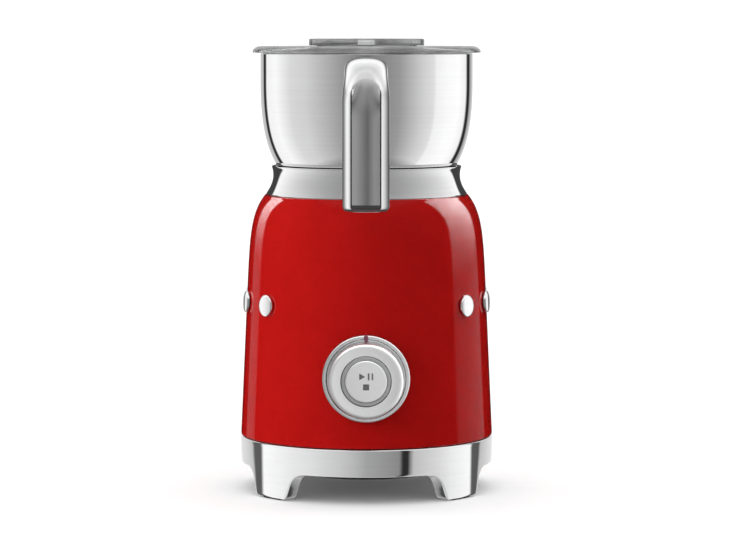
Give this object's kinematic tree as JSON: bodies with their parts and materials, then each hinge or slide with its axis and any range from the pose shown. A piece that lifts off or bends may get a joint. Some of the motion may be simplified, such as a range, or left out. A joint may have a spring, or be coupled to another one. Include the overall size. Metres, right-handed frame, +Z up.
{
  "type": "induction milk frother",
  "caption": "Round retro milk frother: painted base with dial and chrome legs, lift-off steel jug with hook handle, clear lid and measuring cap.",
  "frame": {"origin": "on the surface the frother stands on, at the middle of its outline; the axis of the jug and the base is 16 mm behind it, at y = 0.016", "axes": "+Z up; -Y to the front, where the handle and the dial are; +X to the right of someone facing the dial"},
  "size_m": [0.1392, 0.1712, 0.248],
  "materials": {
    "red_paint": "gloss enamel",
    "chrome": "polished",
    "satin_chrome": "satin",
    "polished_steel": "polished",
    "steel": "plain",
    "aluminium": "plain",
    "copper": "enamelled copper wire",
    "ferrite": "sintered",
    "black_plastic": "fine texture",
    "white_plastic": "plain",
    "clear_plastic": "clear",
    "silicone": "matt silicone",
    "rubber": "matt",
    "board_green": "solder mask",
    "red_lens": "dark tinted"
  },
  "bodies": {
    "base": {"base_ring": "chrome", "base_screw_1": "steel", "base_screw_2": "steel", "base_screw_3": "steel", "base_screw_4": "steel", "bezel": "satin_chrome", "bottom_cover": "black_plastic", "button_spring": "steel", "coil_former": "white_plastic", "collar": "chrome", "control_board": "board_green", "cord_gland": "rubber", "cord_spool": "black_plastic", "dial_sleeve": "satin_chrome", "fan_frame": "black_plastic", "ferrite_plate": "ferrite", "filter_capacitor": "black_plastic", "foot_pad_back_left": "rubber", "foot_pad_back_right": "rubber", "foot_pad_front_left": "rubber", "foot_pad_front_right": "rubber", "heat_sink": "aluminium", "housing": "red_paint", "indicator_lens": "red_lens", "induction_coil": "copper", "inner_chassis": "white_plastic", "lower_bearing": "steel", "motor_can": "steel", "motor_end_cap": "black_plastic", "power_board": "board_green", "seat_plate": "black_plastic", "sensor_spring": "steel", "trim_stud_left_1": "chrome", "trim_stud_left_2": "chrome", "trim_stud_left_3": "chrome", "trim_stud_left_4": "chrome", "trim_stud_right_1": "chrome", "trim_stud_right_2": "chrome", "trim_stud_right_3": "chrome", "trim_stud_right_4": "chrome", "upper_bearing": "steel"},
    "jug": {"jug_pot": "polished_steel", "heating_disc": "steel", "whisk_pin": "steel", "handle": "satin_chrome"},
    "lid": {"lid": "clear_plastic", "lid_seal": "silicone"},
    "cap": {"measuring_cap": "clear_plastic"},
    "whisk": {"whisk_hub": "black_plastic", "whisk_magnet": "ferrite", "whisk_ring": "steel"},
    "rotor": {"motor_shaft": "steel", "motor_armature": "copper", "drive_rotor": "white_plastic", "drive_magnet": "ferrite"},
    "fan": {"fan_impeller": "black_plastic"},
    "knob": {"control_knob": "satin_chrome"},
    "button": {"start_button": "satin_chrome"},
    "sensor": {"sensor_button": "aluminium"}
  },
  "joints": [
    {"name": "jug_lift", "type": "slide", "parent": "base", "child": "jug", "axis": [0, 0, 1], "range_m": [0, 0.12]},
    {"name": "lid_lift", "type": "slide", "parent": "jug", "child": "lid", "axis": [0, 0, 1], "range_m": [0, 0.08]},
    {"name": "cap_lift", "type": "slide", "parent": "lid", "child": "cap", "axis": [0, 0, 1], "range_m": [0, 0.05]},
    {"name": "rotor_spin", "type": "hinge", "parent": "base", "child": "rotor", "pos_m": [0, 0.016, 0.13], "axis": [0, 0, 1], "continuous": true},
    {"name": "whisk_spin", "type": "hinge", "parent": "jug", "child": "whisk", "pos_m": [0, 0.016, 0.18], "axis": [0, 0, 1], "continuous": true},
    {"name": "fan_spin", "type": "hinge", "parent": "base", "child": "fan", "pos_m": [0, 0.016, 0.0305], "axis": [0, 0, 1], "continuous": true},
    {"name": "knob_turn", "type": "hinge", "parent": "base", "child": "knob", "pos_m": [0, -0.062, 0.0682], "axis": [0, -1, 0], "continuous": true},
    {"name": "button_press", "type": "slide", "parent": "base", "child": "button", "axis": [0, 1, 0], "range_m": [0, 0.0015], "stiffness_N_per_m": 600, "springref_m": -0.002, "deforming": ["button_spring"]},
    {"name": "sensor_press", "type": "slide", "parent": "base", "child": "sensor", "axis": [0, 0, -1], "range_m": [0, 0.0015], "stiffness_N_per_m": 300, "springref_m": -0.002, "deforming": ["sensor_spring"]}
  ],
  "couplings": [
    {"joint": "whisk_spin", "follows": "rotor_spin", "ratio": 1}
  ]
}
